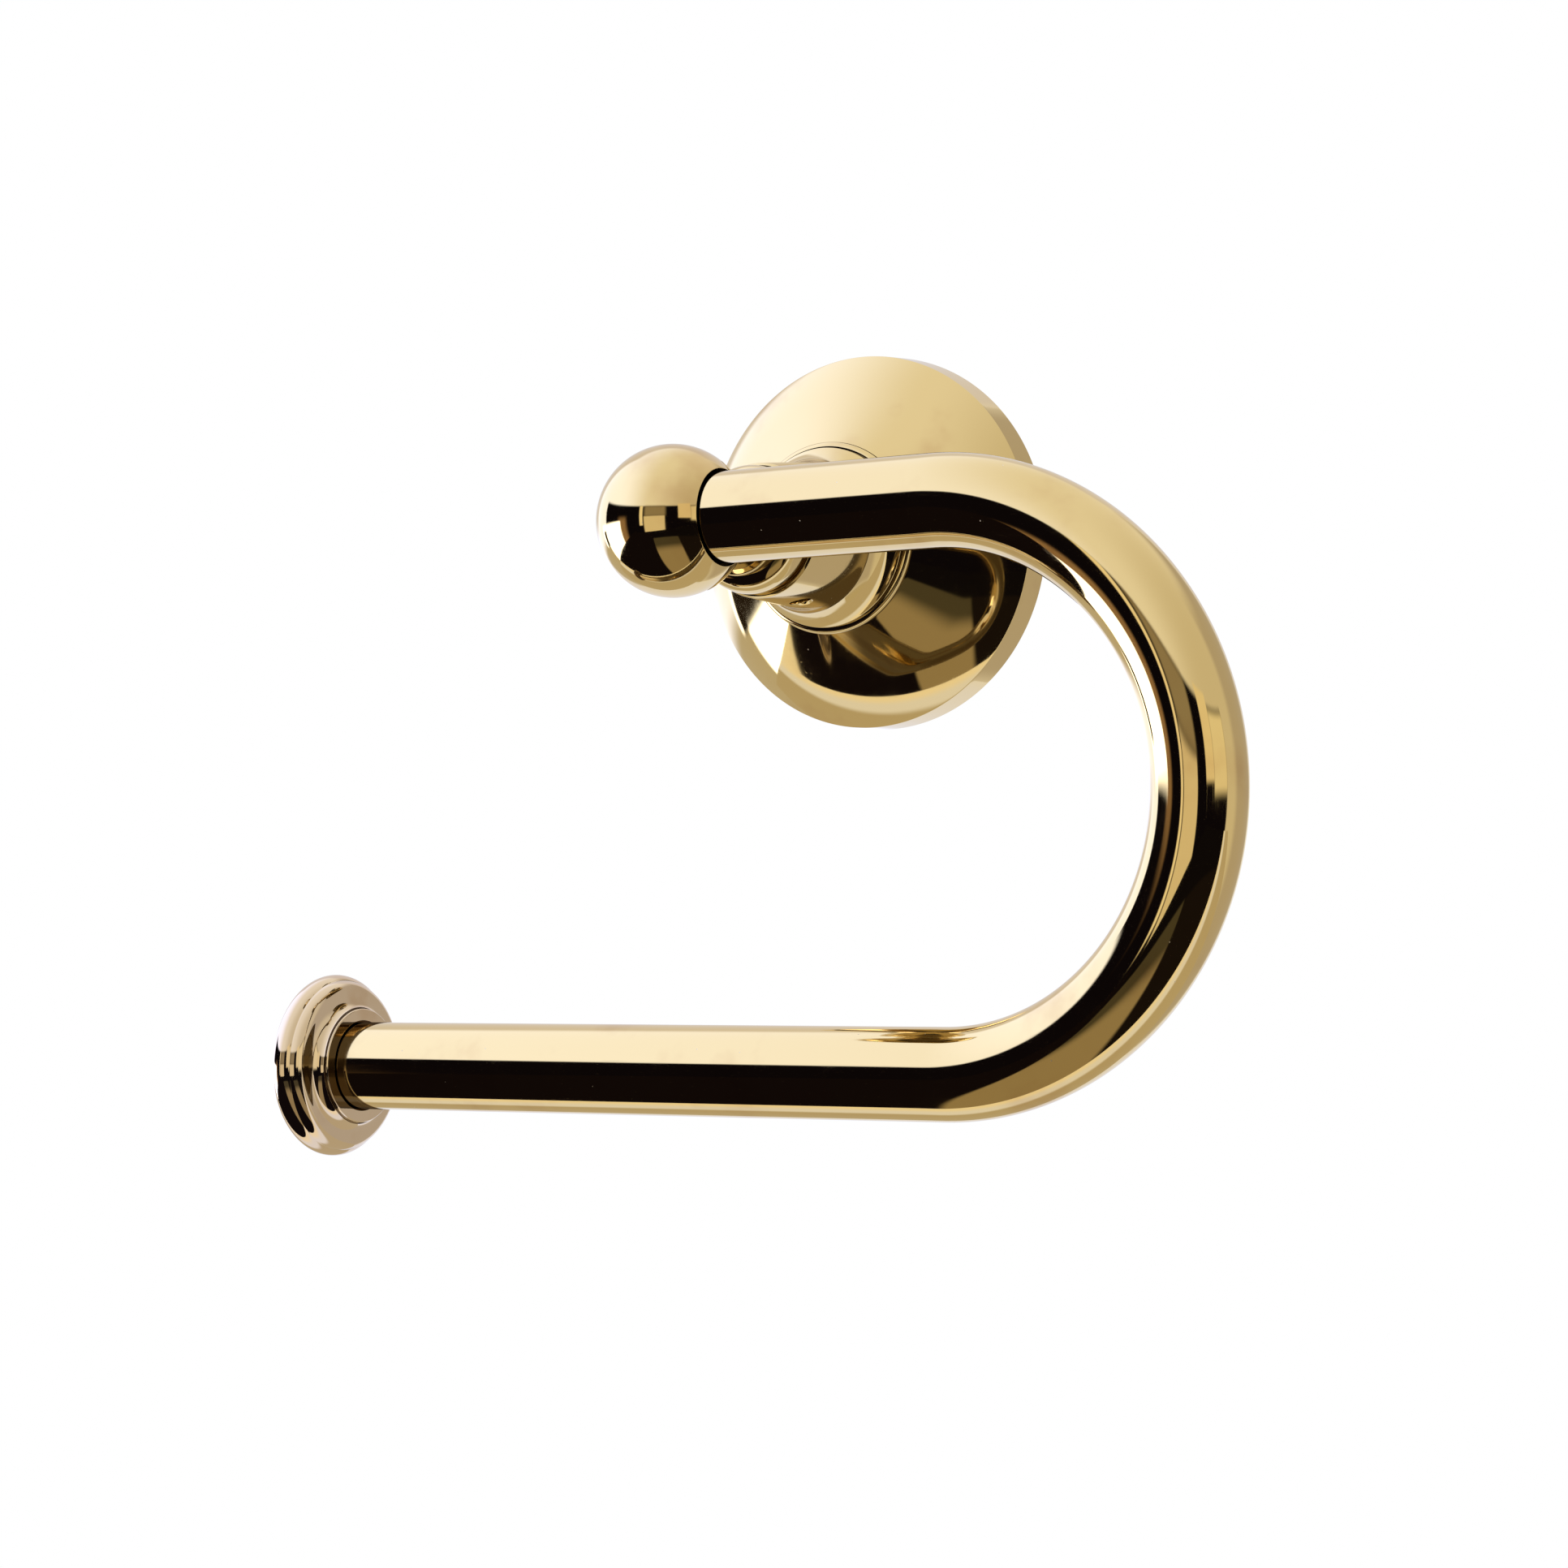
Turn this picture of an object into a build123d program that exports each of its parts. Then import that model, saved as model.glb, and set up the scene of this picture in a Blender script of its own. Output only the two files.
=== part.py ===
"""Toilet paper holder: a wall rose and turned post carrying a C-shaped brass arm with a stop.

Frame: origin on the wall at the post's axis, +Z up, the wall on the +Y side, the post along -Y.
The arm leaves the ball along +X, turns down through a half circle and comes back along -X.
"""
from math import atan2, cos, radians, sin, sqrt, tan
import os

from build123d import *

os.makedirs("parts", exist_ok=True)

# ---------------------------------------------------------------- driving dimensions (mm)
# overall layout
projection = 72.0           # wall to the centre line of the arm
bar_spacing = 96.0          # upper bar to lower bar, centre to centre
upper_run = 52.0            # ball centre to the start of the bend
lower_run = 123.5           # end of the bend to the inner face of the end stop

# arm tube
tube_r = 8.0
tube_wall = 1.2

# ball
ball_r = 13.5
pocket_depth = 6.0          # how far the pocket runs past the ball's centre

# rose: a bell-shaped cover against the wall, hollow slope first and rolled edge after
rose_r = 35.6
rose_height = 18.5
rose_wall = 2.3
rose_land_r = 17.5          # flat top that the base ring sits on
shoulder_r = 27.5           # where the hollow slope turns into the rolled edge
shoulder_h = 12.35
shoulder_slope = 31.5       # degrees from the wall's plane
rim_h = 6.0                 # height of the side wall, up to the crease around the shell
rim_draft = 0.3             # the crease is this much smaller than the foot

# base ring, a half-round bead between rose and collar
ring_r = 18.0
ring_h = 2.0

# bell collar
collar_base_r = 16.8
collar_land = 0.8
flare_r = 13.7              # where the flare meets the cone
flare_h = 7.0               # length of the flare above the base ring
collar_top_r = 12.3
collar_top_h = 44.2         # distance of the collar's outer end from the wall
collar_floor = 5.2
tail_r = 10.5               # threaded tail through ring and rose
tail_h = 11.0               # distance of the tail's end from the wall

# neck
groove_r = 10.9
groove_h = 1.1
neck_ring_r = 11.7
neck_ring_h = 1.8
neck_dome_h = 3.5
neck_bead_r = 8.3
neck_bead_h = 1.2
waist_r = 7.0
neck_end_r = 7.6

# end stop, measured from its inner face towards the free end
stop_face_r = 10.5
stop_land = 0.6
cove_r = 13.4
cove_a = 2.6
crease_r = 15.7
crease_a = 4.5
stop_r = 16.75
stop_widest_a = 6.4
stop_edge_r = 16.0
stop_edge_a = 8.2
stop_length = 12.6
stop_bore_depth = 4.0
stop_thread_depth = 5.4

# hidden wall bracket
plate_r = 25.0
plate_t = 3.5
plate_pcd_r = 18.5
plate_hole_r = 2.6
plate_sink_r = 4.6
plate_hole_count = 3
spigot_r = 8.0
spigot_gap = 0.4            # spigot's end to the collar's floor
spigot_groove = 1.0

# fasteners
tie_r = 3.0
tie_head_r = 5.8
tie_reach = 3.0             # how far the tie screw runs past the arm's centre line
spigot_screw_r = 2.0
spigot_screw_head_r = 3.9
spigot_screw_pitch = 9.0
spigot_screw_depth = 11.0
grub_r = 2.0
grub_length = 4.6
grub_h = 34.5               # distance of the grub screw from the wall
grub_turn = 12.0            # degrees from straight down, towards +X
nut_r = 15.0
nut_t = 4.0
nut_slot = 3.0
insert_length = 22.0
stud_engaged = 16.0
hex_small = 1.0             # half the width across flats of a socket
hex_large = 2.0

# clearances, all radial or end gaps
pocket_gap = 0.5
stop_gap = 0.3
slide_gap = 0.1
thread_gap = 0.05
screw_gap = 0.2
recess = 0.2                # screw heads lie this far below their face
soft_edge = 0.4

# ---------------------------------------------------------------- derived places
ring_top_h = rose_height + ring_h
cone_h = ring_top_h + flare_h
floor_h = collar_top_h - collar_floor
spigot_end_h = floor_h - spigot_gap
bore_r = spigot_r + slide_gap
bend_r = bar_spacing / 2
pocket_r = tube_r + pocket_gap
tube_bore_r = tube_r - tube_wall
insert_r = tube_bore_r - thread_gap
tube_start_x = -pocket_depth
stop_face_x = upper_run - lower_run
tube_end_x = stop_face_x - stop_bore_depth
neck_end_h = projection - sqrt(ball_r**2 - neck_end_r**2)
tie_tip_h = projection + tie_reach
tie_hole_r = tie_r + screw_gap
stud_r = tie_r

# planes: turned parts of the post use local x as radius and local y as distance from the wall
post_plane = Plane(origin=(0, 0, 0), x_dir=(1, 0, 0), z_dir=(0, 0, -1))
post_axis = Axis((0, 0, 0), (0, -1, 0))
arm_plane = Plane.XZ.offset(projection)
stop_plane = Plane(origin=(stop_face_x, -projection, -bar_spacing), x_dir=(0, 0, 1), z_dir=(0, -1, 0))
stop_axis = Axis((stop_face_x, -projection, -bar_spacing), (-1, 0, 0))
insert_plane = Plane(origin=(tube_start_x, -projection, 0), x_dir=(0, 0, 1), z_dir=(0, 1, 0))
insert_axis = Axis((tube_start_x, -projection, 0), (1, 0, 0))
grub_plane = Plane(
    origin=(0, -grub_h, 0),
    x_dir=(0, 1, 0),
    z_dir=Vector(0, 0, -1).rotate(Axis.Y, -grub_turn),
)


def wall_facing(height):
    """A plane parallel to the wall at this distance from it, its normal pointing away from the wall."""
    return Plane.XZ.offset(height)


def fall(start, end):
    """Angle by which a run between two profile points falls towards the wall."""
    return atan2(start[1] - end[1], end[0] - start[0])


def inward(point, slope):
    """The point one rose wall below a profile point whose slope is given."""
    return (point[0] - rose_wall * sin(slope), point[1] - rose_wall * cos(slope))


def save(builder, label):
    """Name a finished piece and write its file."""
    builder.part.label = label
    export_step(builder.part, "parts/" + label + ".step")


# ---------------------------------------------------------------- wall bracket
with BuildPart() as wall_plate:
    with BuildSketch(wall_facing(0)):
        Circle(plate_r)
    extrude(amount=plate_t)
    fillet(wall_plate.edges().group_by(Axis.Y)[0], soft_edge)
    with Locations(wall_facing(plate_t)):
        with PolarLocations(plate_pcd_r, plate_hole_count, start_angle=90):
            CounterSinkHole(plate_hole_r, plate_sink_r)
    with Locations(Plane(origin=(0, 0, 0), x_dir=(1, 0, 0), z_dir=(0, 1, 0))):
        with GridLocations(spigot_screw_pitch, 1, 2, 1):
            CounterSinkHole(spigot_screw_r + slide_gap, spigot_screw_head_r + recess + slide_gap)
save(wall_plate, "wall_plate")

groove_half = grub_r + screw_gap
groove_mouth = groove_half + spigot_groove
with BuildPart() as spigot:
    with BuildSketch(post_plane):
        with BuildLine():
            Polyline(
                (0, plate_t),
                (spigot_r, plate_t),
                (spigot_r, grub_h - groove_mouth),
                (spigot_r - spigot_groove, grub_h - groove_half),
                (spigot_r - spigot_groove, grub_h + groove_half),
                (spigot_r, grub_h + groove_mouth),
                (spigot_r, spigot_end_h - soft_edge),
                (spigot_r - soft_edge, spigot_end_h),
                (0, spigot_end_h),
                close=True,
            )
        make_face()
    revolve(axis=post_axis)
    with BuildSketch(wall_facing(plate_t)):
        with GridLocations(spigot_screw_pitch, 1, 2, 1):
            Circle(spigot_screw_r + thread_gap)
    extrude(amount=spigot_screw_depth, mode=Mode.SUBTRACT)
save(spigot, "spigot")

screw_length = plate_t + spigot_screw_depth - 2 * recess
head_sink = spigot_screw_head_r - spigot_screw_r
with BuildPart() as spigot_screws:
    for side in (-1, 1):
        screw_x = side * spigot_screw_pitch / 2
        with BuildSketch(post_plane):
            with BuildLine():
                Polyline(
                    (screw_x, recess),
                    (screw_x + spigot_screw_head_r, recess),
                    (screw_x + spigot_screw_r, recess + head_sink),
                    (screw_x + spigot_screw_r, screw_length - soft_edge),
                    (screw_x + spigot_screw_r - soft_edge, screw_length),
                    (screw_x, screw_length),
                    close=True,
                )
            make_face()
        revolve(axis=Axis((screw_x, 0, 0), (0, -1, 0)))
    with BuildSketch(wall_facing(recess)):
        with GridLocations(spigot_screw_pitch, 1, 2, 1):
            RegularPolygon(hex_small, 6, major_radius=False)
    extrude(amount=head_sink, mode=Mode.SUBTRACT)
save(spigot_screws, "spigot_screws")

# ---------------------------------------------------------------- rose and its fixing
land_point = (rose_land_r, rose_height)
shoulder_point = (shoulder_r, shoulder_h)
crease_point = (rose_r - rim_draft, rim_h)
slope = radians(shoulder_slope)
down_slope = (cos(slope), -sin(slope))
up_slope = (-cos(slope), sin(slope))
land_slope = 2 * fall(land_point, shoulder_point) - slope
crease_slope = 2 * fall(shoulder_point, crease_point) - slope
inner_top_h = rose_height - rose_wall
inner_shoulder = inward(shoulder_point, slope)
inner_crease = inward(crease_point, crease_slope)
inner_land = inward(land_point, land_slope)
inner_top = (inner_land[0] + (inner_land[1] - inner_top_h) / tan(land_slope), inner_top_h)
with BuildPart() as rose:
    with BuildSketch(post_plane):
        with BuildLine():
            Line((tail_r + slide_gap, rose_height), land_point)
            TangentArc(shoulder_point, land_point, tangent=up_slope)
            TangentArc(shoulder_point, crease_point, tangent=down_slope)
            Line(crease_point, (rose_r, 0))
            Line((rose_r, 0), (rose_r - rose_wall, 0))
            Line((rose_r - rose_wall, 0), inner_crease)
            TangentArc(inner_shoulder, inner_crease, tangent=down_slope)
            TangentArc(inner_shoulder, inner_top, tangent=up_slope)
            Line(inner_top, (tail_r + slide_gap, inner_top_h))
            Line((tail_r + slide_gap, inner_top_h), (tail_r + slide_gap, rose_height))
        make_face()
    revolve(axis=post_axis)
save(rose, "rose")

bead_r = ring_h / 2
with BuildPart() as base_ring:
    with BuildSketch(post_plane):
        with BuildLine():
            Line((tail_r + slide_gap, rose_height), (ring_r - bead_r, rose_height))
            ThreePointArc(
                (ring_r - bead_r, rose_height),
                (ring_r, rose_height + bead_r),
                (ring_r - bead_r, ring_top_h),
            )
            Line((ring_r - bead_r, ring_top_h), (tail_r + slide_gap, ring_top_h))
            Line((tail_r + slide_gap, ring_top_h), (tail_r + slide_gap, rose_height))
        make_face()
    revolve(axis=post_axis)
save(base_ring, "base_ring")

with BuildPart() as rose_nut:
    with BuildSketch(wall_facing(inner_top_h - nut_t)):
        Circle(nut_r)
        Circle(tail_r + thread_gap, mode=Mode.SUBTRACT)
        with PolarLocations(nut_r, 4):
            Rectangle(nut_slot, nut_slot, mode=Mode.SUBTRACT)
    extrude(amount=nut_t)
save(rose_nut, "rose_nut")

# ---------------------------------------------------------------- bell collar and grub screw
cone_foot = (flare_r, cone_h)
cone_head = (collar_top_r, collar_top_h - soft_edge)
flare_foot = (collar_base_r, ring_top_h + collar_land)
with BuildPart() as bell_collar:
    with BuildSketch(post_plane):
        with BuildLine():
            Polyline(
                (tail_r, ring_top_h),
                (collar_base_r, ring_top_h),
                flare_foot,
            )
            TangentArc(
                cone_foot,
                flare_foot,
                tangent=(cone_foot[0] - cone_head[0], cone_foot[1] - cone_head[1]),
            )
            Polyline(
                cone_foot,
                cone_head,
                (collar_top_r - soft_edge, collar_top_h),
                (tie_hole_r, collar_top_h),
                (tie_hole_r, floor_h + tie_head_r + recess - tie_r),
                (tie_head_r + recess + screw_gap, floor_h),
                (bore_r, floor_h),
                (bore_r, tail_h),
                (tail_r, tail_h),
                (tail_r, ring_top_h),
            )
        make_face()
    revolve(axis=post_axis)
    with BuildSketch(grub_plane):
        Circle(grub_r + thread_gap)
    extrude(amount=collar_base_r, mode=Mode.SUBTRACT)
save(bell_collar, "bell_collar")

grub_start = spigot_r - spigot_groove + thread_gap
with BuildPart() as grub_screw:
    with BuildSketch(grub_plane.offset(grub_start)):
        Circle(grub_r)
    extrude(amount=grub_length)
    chamfer(grub_screw.edges(), soft_edge)
    with BuildSketch(grub_plane.offset(grub_start + grub_length)):
        RegularPolygon(hex_small, 6, major_radius=False)
    extrude(amount=-2 * hex_small, mode=Mode.SUBTRACT)
save(grub_screw, "grub_screw")

# ---------------------------------------------------------------- neck
groove_top_h = collar_top_h + groove_h
rim_top_h = groove_top_h + neck_ring_h
bead_foot_h = rim_top_h + neck_dome_h
bead_top_h = bead_foot_h + neck_bead_h
with BuildPart() as neck:
    with BuildSketch(post_plane):
        with BuildLine():
            Polyline(
                (tie_hole_r, collar_top_h),
                (groove_r, collar_top_h),
                (groove_r, groove_top_h),
                (neck_ring_r - soft_edge, groove_top_h),
                (neck_ring_r, groove_top_h + soft_edge),
                (neck_ring_r, rim_top_h - soft_edge),
            )
            EllipticalCenterArc(
                (neck_bead_r, rim_top_h - soft_edge),
                neck_ring_r - neck_bead_r,
                neck_dome_h + soft_edge,
                start_angle=0,
                arc_size=90,
            )
            ThreePointArc(
                (neck_bead_r, bead_foot_h),
                (neck_bead_r + neck_bead_h / 4, bead_foot_h + neck_bead_h / 2),
                (neck_bead_r, bead_top_h),
            )
            Line((neck_bead_r, bead_top_h), (waist_r + soft_edge, bead_top_h))
            ThreePointArc(
                (waist_r + soft_edge, bead_top_h),
                (waist_r, (bead_top_h + neck_end_h) / 2),
                (neck_end_r, neck_end_h),
            )
            Line((neck_end_r, neck_end_h), (tie_hole_r, neck_end_h))
            Line((tie_hole_r, neck_end_h), (tie_hole_r, collar_top_h))
        make_face()
    revolve(axis=post_axis)
save(neck, "neck")

tie_head_h = floor_h + recess
with BuildPart() as tie_screw:
    with BuildSketch(post_plane):
        with BuildLine():
            Polyline(
                (0, tie_head_h),
                (tie_head_r, tie_head_h),
                (tie_r, tie_head_h + tie_head_r - tie_r),
                (tie_r, tie_tip_h - soft_edge),
                (tie_r - soft_edge, tie_tip_h),
                (0, tie_tip_h),
                close=True,
            )
        make_face()
    revolve(axis=post_axis)
    with BuildSketch(wall_facing(tie_head_h)):
        RegularPolygon(hex_large, 6, major_radius=False)
    extrude(amount=tie_head_r - tie_r, mode=Mode.SUBTRACT)
save(tie_screw, "tie_screw")

# ---------------------------------------------------------------- ball
with BuildPart(Plane(origin=(0, -projection, 0))) as ball:
    Sphere(ball_r)
    with BuildSketch(Plane.YZ.offset(-pocket_depth)):
        with Locations((-projection, 0)):
            Circle(pocket_r)
    extrude(amount=pocket_depth + ball_r, mode=Mode.SUBTRACT)
    with BuildSketch(wall_facing(0)):
        Circle(ball_r)
    extrude(amount=neck_end_h, mode=Mode.SUBTRACT)
    with BuildSketch(wall_facing(0)):
        Circle(tie_hole_r)
    extrude(amount=projection, mode=Mode.SUBTRACT)
save(ball, "ball")

# ---------------------------------------------------------------- arm
with BuildPart() as arm_tube:
    with BuildLine(arm_plane):
        upper_bar = Line((tube_start_x, 0), (upper_run, 0))
        bend = JernArc(upper_bar @ 1, upper_bar % 1, bend_r, -180)
        Line(bend @ 1, (tube_end_x, -bar_spacing))
    with BuildSketch(Plane(origin=(tube_start_x, -projection, 0), z_dir=(1, 0, 0))):
        Circle(tube_r)
        Circle(tube_bore_r, mode=Mode.SUBTRACT)
    sweep()
    with BuildSketch(wall_facing(neck_end_h)):
        Circle(tie_hole_r)
    extrude(amount=projection - neck_end_h, mode=Mode.SUBTRACT)
save(arm_tube, "arm_tube")

with BuildPart() as arm_insert:
    with BuildSketch(Plane.YZ.offset(tube_start_x)):
        with Locations((-projection, 0)):
            Circle(insert_r)
    extrude(amount=insert_length)
    chamfer(arm_insert.edges(), soft_edge)
    with BuildSketch(wall_facing(neck_end_h)):
        Circle(tie_r + thread_gap)
    extrude(amount=tie_tip_h - neck_end_h + soft_edge, mode=Mode.SUBTRACT)
save(arm_insert, "arm_insert")

with BuildPart() as stop_insert:
    with BuildSketch(Plane.YZ.offset(tube_end_x)):
        with Locations((-projection, -bar_spacing)):
            Circle(insert_r)
            Circle(stud_r + thread_gap, mode=Mode.SUBTRACT)
    extrude(amount=insert_length)
save(stop_insert, "stop_insert")

# ---------------------------------------------------------------- end stop and its stud
stud_reach = stop_bore_depth + stop_thread_depth - recess
with BuildPart() as stop_stud:
    with BuildSketch(Plane.YZ.offset(tube_end_x + stud_engaged)):
        with Locations((-projection, -bar_spacing)):
            Circle(stud_r)
    extrude(amount=-(stud_engaged + stop_thread_depth - recess))
    chamfer(stop_stud.edges(), soft_edge)
save(stop_stud, "stop_stud")

with BuildPart() as end_stop:
    with BuildSketch(stop_plane):
        with BuildLine():
            Polyline(
                (tube_r + stop_gap, stop_bore_depth),
                (tube_r + stop_gap, 0),
                (stop_face_r - soft_edge / 2, 0),
                (stop_face_r, soft_edge / 2),
                (stop_face_r, stop_land),
            )
            EllipticalCenterArc(
                (cove_r, stop_land),
                cove_r - stop_face_r,
                cove_a - stop_land,
                start_angle=90,
                arc_size=90,
            )
            ThreePointArc(
                (cove_r, cove_a),
                (crease_r, (cove_a + crease_a) / 2),
                (crease_r, crease_a),
            )
            ThreePointArc(
                (crease_r, crease_a),
                (stop_r, stop_widest_a),
                (stop_edge_r, stop_edge_a),
            )
            dome_rise = stop_length - stop_edge_a
            RadiusArc(
                (stop_edge_r, stop_edge_a),
                (0, stop_length),
                -(stop_edge_r**2 + dome_rise**2) / (2 * dome_rise),
            )
            Polyline(
                (0, stop_length),
                (0, stop_bore_depth + stop_thread_depth),
                (stud_r + thread_gap, stop_bore_depth + stop_thread_depth),
                (stud_r + thread_gap, stop_bore_depth),
                (tube_r + stop_gap, stop_bore_depth),
            )
        make_face()
    revolve(axis=stop_axis)
save(end_stop, "end_stop")
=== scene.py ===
"""Polished brass toilet paper holder: wall rose, turned post and a C-shaped arm with an end stop.

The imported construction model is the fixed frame. Each visible brass piece is a profile turned round an
axis: the post's axis, the arm's own bent centre line, or the end stop's axis. Lengths are metres.
"""
import math

import bpy
import numpy as np
from bpy.props import FloatProperty, FloatVectorProperty, PointerProperty
from mathutils import Matrix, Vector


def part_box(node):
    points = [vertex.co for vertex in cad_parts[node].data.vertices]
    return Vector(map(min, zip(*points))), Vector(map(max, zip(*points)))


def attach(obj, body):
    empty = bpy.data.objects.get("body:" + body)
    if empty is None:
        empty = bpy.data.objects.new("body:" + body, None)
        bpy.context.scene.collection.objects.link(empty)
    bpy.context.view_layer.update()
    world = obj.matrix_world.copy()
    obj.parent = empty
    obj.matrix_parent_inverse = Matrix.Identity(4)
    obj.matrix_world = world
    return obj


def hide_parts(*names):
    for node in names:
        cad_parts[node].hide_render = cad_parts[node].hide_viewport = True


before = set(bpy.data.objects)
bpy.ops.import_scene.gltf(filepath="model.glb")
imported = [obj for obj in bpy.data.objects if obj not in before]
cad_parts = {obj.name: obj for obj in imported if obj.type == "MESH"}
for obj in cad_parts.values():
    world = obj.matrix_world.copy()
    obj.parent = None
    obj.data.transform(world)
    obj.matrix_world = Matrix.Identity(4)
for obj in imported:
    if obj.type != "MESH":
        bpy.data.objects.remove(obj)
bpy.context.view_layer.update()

bl_info = {
    "name": "Brass Paper Holder",
    "version": (1, 0, 0),
    "blender": (4, 5, 0),
    "location": "View3D > Sidebar > Paper Holder",
    "description": "Polished brass toilet paper holder built around its construction frame",
    "category": "Object",
}

MM = 0.001
BODY = "root"


def linear(code):
    """An sRGB hex colour as linear red, green and blue."""
    srgb = np.array([int(code[i:i + 2], 16) for i in (1, 3, 5)]) / 255
    return tuple(np.where(srgb <= 0.04045, srgb / 12.92, ((srgb + 0.055) / 1.055) ** 2.4))


# ------------------------------------------------------------------ sizes read from the frame
def reach(node, side, axis):
    """One side of a node's box: side 0 is its lowest corner, 1 its highest; axis is 0, 1 or 2."""
    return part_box(node)[side][axis]


TUBE_RADIUS = (reach("arm_tube", 1, 1) - reach("arm_tube", 0, 1)) / 2
PROJECTION = -(reach("arm_tube", 1, 1) + reach("arm_tube", 0, 1)) / 2
BAR_SPACING = reach("arm_tube", 1, 2) - reach("arm_tube", 0, 2) - 2 * TUBE_RADIUS
BEND_START = reach("arm_tube", 1, 0) - TUBE_RADIUS - BAR_SPACING / 2
BALL_RADIUS = (reach("ball", 1, 2) - reach("ball", 0, 2)) / 2
STOP_FACE = reach("end_stop", 1, 0)
ARM_START = reach("arm_insert", 0, 0)
ARM_END = reach("stop_insert", 0, 0)


def length(name, description, default):
    """A length property in metres, named and described for the panel."""
    return FloatProperty(
        name=name, description=description, default=default, min=0, unit="LENGTH", precision=5
    )


def colour(name, description, code):
    """A colour property whose default is an sRGB hex value."""
    return FloatVectorProperty(
        name=name, description=description, default=linear(code), min=0, max=1, subtype="COLOR"
    )


class RoseSizes(bpy.types.PropertyGroup):
    radius: length("Foot radius", "Radius of the rose where it meets the wall", reach("rose", 1, 0))
    height: length("Height", "Distance of the flat top from the wall", -reach("rose", 0, 1))
    wall: length("Wall", "Thickness of the spun shell", 2.3 * MM)
    land: length("Land radius", "Radius of the flat top under the ring", 17.5 * MM)
    shoulder: length("Shoulder radius", "Radius where the hollow slope turns into the rolled edge", 27.5 * MM)
    shoulder_height: length("Shoulder height", "Distance of that turn from the wall", 12.35 * MM)
    slope: FloatProperty(
        name="Shoulder slope", description="Slope of the shell at the shoulder",
        default=math.radians(31.5), min=0, unit="ROTATION",
    )
    side: length("Side height", "Height of the side wall up to the crease", 6 * MM)
    draft: length("Side draft", "How much smaller the crease is than the foot", 0.3 * MM)
    bore: length("Bore radius", "Hole for the collar's tail", 10.6 * MM)


class PostSizes(bpy.types.PropertyGroup):
    ring: length("Ring radius", "Radius of the bead ring on the rose", reach("base_ring", 1, 0))
    ring_top: length(
        "Ring top", "Distance of the bead ring's outer face from the wall", -reach("base_ring", 0, 1)
    )
    collar: length("Collar radius", "Radius of the bell collar's foot", reach("bell_collar", 1, 0))
    collar_land: length("Collar land", "Height of the collar's straight foot", 0.8 * MM)
    flare: length("Flare radius", "Radius where the flare meets the cone", 13.7 * MM)
    flare_height: length("Flare height", "Height of the flare above the ring", 7 * MM)
    collar_top: length("Collar top radius", "Radius of the collar's outer end", 12.3 * MM)
    collar_end: length(
        "Collar end", "Distance of the collar's outer end from the wall", -reach("bell_collar", 0, 1)
    )
    collar_floor: length("Collar floor", "Thickness of the collar's closed end", 5.2 * MM)
    tail: length("Tail radius", "Radius of the threaded tail through the rose", 10.5 * MM)
    groove: length("Groove radius", "Radius of the dark groove between collar and neck", 10.9 * MM)
    groove_height: length("Groove height", "Width of that groove", 1.1 * MM)
    neck: length("Neck ring radius", "Radius of the neck's ring", reach("neck", 1, 0))
    neck_ring: length("Neck ring height", "Height of the neck's ring", 1.8 * MM)
    neck_dome: length("Neck dome height", "Height of the dome above the ring", 3.5 * MM)
    bead: length("Bead radius", "Radius of the bead on the neck's dome", 8.3 * MM)
    bead_height: length("Bead height", "Height of that bead", 1.2 * MM)
    waist: length("Waist radius", "Smallest radius of the neck", 7 * MM)
    seat: length("Seat radius", "Radius where the neck meets the ball", 7.6 * MM)
    grub: length("Grub screw radius", "Radius of the set screw that holds the collar", 2 * MM)
    grub_place: length("Grub screw place", "Distance of the set screw from the wall", 34.5 * MM)


class ArmSizes(bpy.types.PropertyGroup):
    tube: length("Tube radius", "Outer radius of the arm", TUBE_RADIUS)
    wall: length("Tube wall", "Wall of the arm's tube", 1.2 * MM)
    projection: length("Projection", "Distance of the arm's centre line from the wall", PROJECTION)
    spacing: length("Bar spacing", "Upper bar to lower bar, centre to centre", BAR_SPACING)
    bend_start: length("Bend start", "Distance of the bend from the post's axis", BEND_START)
    ball: length("Ball radius", "Radius of the ball at the arm's root", BALL_RADIUS)
    pocket: length("Pocket radius", "Radius of the ball's pocket for the tube", 8.5 * MM)
    tie: length("Tie hole radius", "Hole for the hidden screw that ties the arm on", 3.2 * MM)


class StopSizes(bpy.types.PropertyGroup):
    face: length("Face radius", "Radius of the flat ring round the tube", 10.5 * MM)
    cove: length("Cove radius", "Radius where the hollow moulding ends", 13.4 * MM)
    crease: length("Crease radius", "Radius of the line between the two beads", 15.7 * MM)
    rim: length("Rim radius", "Largest radius of the end stop", reach("end_stop", 1, 1) + PROJECTION)
    length: length("Length", "Inner face to the top of the domed end", STOP_FACE - reach("end_stop", 0, 0))
    bore: length("Bore depth", "How far the tube sits in the stop", STOP_FACE - ARM_END)


class FinishColours(bpy.types.PropertyGroup):
    brass: colour("Polished brass", "Pale polished brass", "#ecd29a")
    stop_brass: colour("Stop brass", "Paler, rosier brass of the end stop", "#ecd6bb")
    patina: colour("Patina", "Warm film where the polish is ageing", "#cba273")
    bare_brass: colour("Bare brass", "Turned brass that was never polished", "#c2a062")
    zinc: colour("Zinc plate", "Bright zinc on the wall bracket", "#b7bcc0")
    zinc_tint: colour("Zinc tint", "Yellowish passivated areas of the zinc", "#c4bfa6")
    steel: colour("Screw steel", "Stainless screws", "#9a9c9e")
    floor: colour("Floor", "Plain pale studio floor", "#f1efeb")


class HolderSettings(bpy.types.PropertyGroup):
    rose: PointerProperty(type=RoseSizes)
    post: PointerProperty(type=PostSizes)
    arm: PointerProperty(type=ArmSizes)
    stop: PointerProperty(type=StopSizes)
    finish: PointerProperty(type=FinishColours)


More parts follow.
